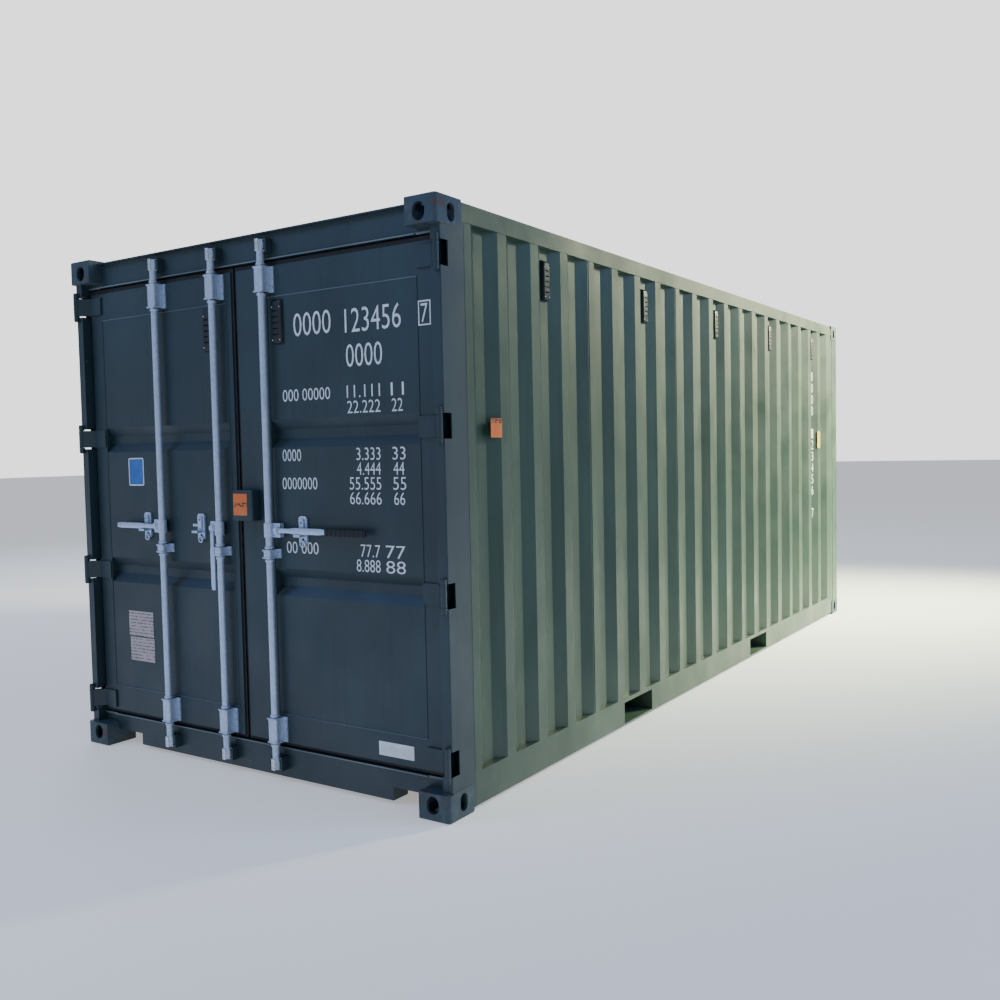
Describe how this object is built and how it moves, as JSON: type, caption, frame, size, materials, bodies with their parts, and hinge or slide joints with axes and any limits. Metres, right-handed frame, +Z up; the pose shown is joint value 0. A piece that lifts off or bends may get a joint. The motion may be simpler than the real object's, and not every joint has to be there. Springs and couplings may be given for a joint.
{
  "type": "shipping container",
  "caption": "Twenty-foot steel dry freight container with corrugated walls and two hinged end doors with lock rods.",
  "frame": {"origin": "on the ground under the middle of the box", "axes": "+Y along the length towards the closed front wall, doors at -Y; +X across, on the right as seen from in front of the doors; +Z up"},
  "size_m": [2.438, 6.058, 2.591],
  "materials": {
    "painted_castings": "worn paint over cast steel",
    "plywood": "varnished marine plywood",
    "rubber": "matt black",
    "galvanised_steel": "dull zinc coating",
    "vent_plastic": "painted moulding",
    "painted_sheet": "weathered dark grey-green paint",
    "painted_steel": "weathered dark grey-green paint"
  },
  "bodies": {
    "frame": {"bottom_side_rails": "painted_steel", "cam_keepers": "galvanised_steel", "cross_members": "painted_steel", "door_header": "painted_steel", "door_sill": "painted_steel", "fork_pocket_front": "painted_steel", "fork_pocket_rear": "painted_steel", "front_bottom_castings": "painted_castings", "front_corner_posts": "painted_steel", "front_sill": "painted_steel", "front_top_castings": "painted_castings", "front_top_rail": "painted_steel", "front_wall": "painted_sheet", "hinge_pins": "galvanised_steel", "plywood_floor": "plywood", "rear_bottom_castings": "painted_castings", "rear_corner_posts": "painted_steel", "rear_top_castings": "painted_castings", "roof_end_plates": "painted_sheet", "roof_sheet": "painted_sheet", "side_vents": "vent_plastic", "side_wall_left": "painted_sheet", "side_wall_right": "painted_sheet", "top_side_rails": "painted_steel"},
    "door_right": {"door_frame_right": "painted_steel", "door_panel_right": "painted_steel", "door_gasket_right": "rubber", "door_hinges_right": "painted_steel", "rod_brackets_right": "galvanised_steel", "handle_retainers_right": "galvanised_steel", "door_vent_right": "vent_plastic", "lock_box": "painted_steel"},
    "door_left": {"door_frame_left": "painted_steel", "door_panel_left": "painted_steel", "door_gasket_left": "rubber", "door_hinges_left": "painted_steel", "rod_brackets_left": "galvanised_steel", "handle_retainers_left": "galvanised_steel", "door_vent_left": "vent_plastic"},
    "rod_right": {"lock_rod_right": "galvanised_steel"},
    "rod_left_outer": {"lock_rod_left_outer": "galvanised_steel"},
    "rod_left_inner": {"lock_rod_left_inner": "galvanised_steel"},
    "handle_right": {"handle_right": "galvanised_steel", "handle_grip_right": "rubber"},
    "handle_left_outer": {"handle_left_outer": "galvanised_steel"},
    "handle_left_inner": {"handle_left_inner": "galvanised_steel"}
  },
  "joints": [
    {"name": "door_right_hinge", "type": "hinge", "parent": "frame", "child": "door_right", "pos_m": [1.201, -3.012, 1.3], "axis": [0, 0, 1], "range_deg": [0, 265]},
    {"name": "door_left_hinge", "type": "hinge", "parent": "frame", "child": "door_left", "pos_m": [-1.201, -3.012, 1.3], "axis": [0, 0, -1], "range_deg": [0, 265]},
    {"name": "rod_left_outer_turn", "type": "hinge", "parent": "door_left", "child": "rod_left_outer", "pos_m": [-0.583, -2.994, 1.3], "axis": [0, 0, -1], "range_deg": [-120, 0]},
    {"name": "rod_left_inner_turn", "type": "hinge", "parent": "door_left", "child": "rod_left_inner", "pos_m": [-0.157, -2.994, 1.3], "axis": [0, 0, -1], "range_deg": [-120, 0]},
    {"name": "rod_right_turn", "type": "hinge", "parent": "door_right", "child": "rod_right", "pos_m": [0.181, -2.994, 1.3], "axis": [0, 0, 1], "range_deg": [-120, 0]},
    {"name": "handle_left_outer_lift", "type": "hinge", "parent": "rod_left_outer", "child": "handle_left_outer", "pos_m": [-0.633, -2.99, 1.195], "axis": [0, -1, 0], "range_deg": [-30, 0]},
    {"name": "handle_left_inner_lift", "type": "hinge", "parent": "rod_left_inner", "child": "handle_left_inner", "pos_m": [-0.207, -2.99, 1.195], "axis": [0, -1, 0], "range_deg": [-60, 0]},
    {"name": "handle_right_lift", "type": "hinge", "parent": "rod_right", "child": "handle_right", "pos_m": [0.231, -2.99, 1.195], "axis": [0, 1, 0], "range_deg": [-30, 0]}
  ]
}
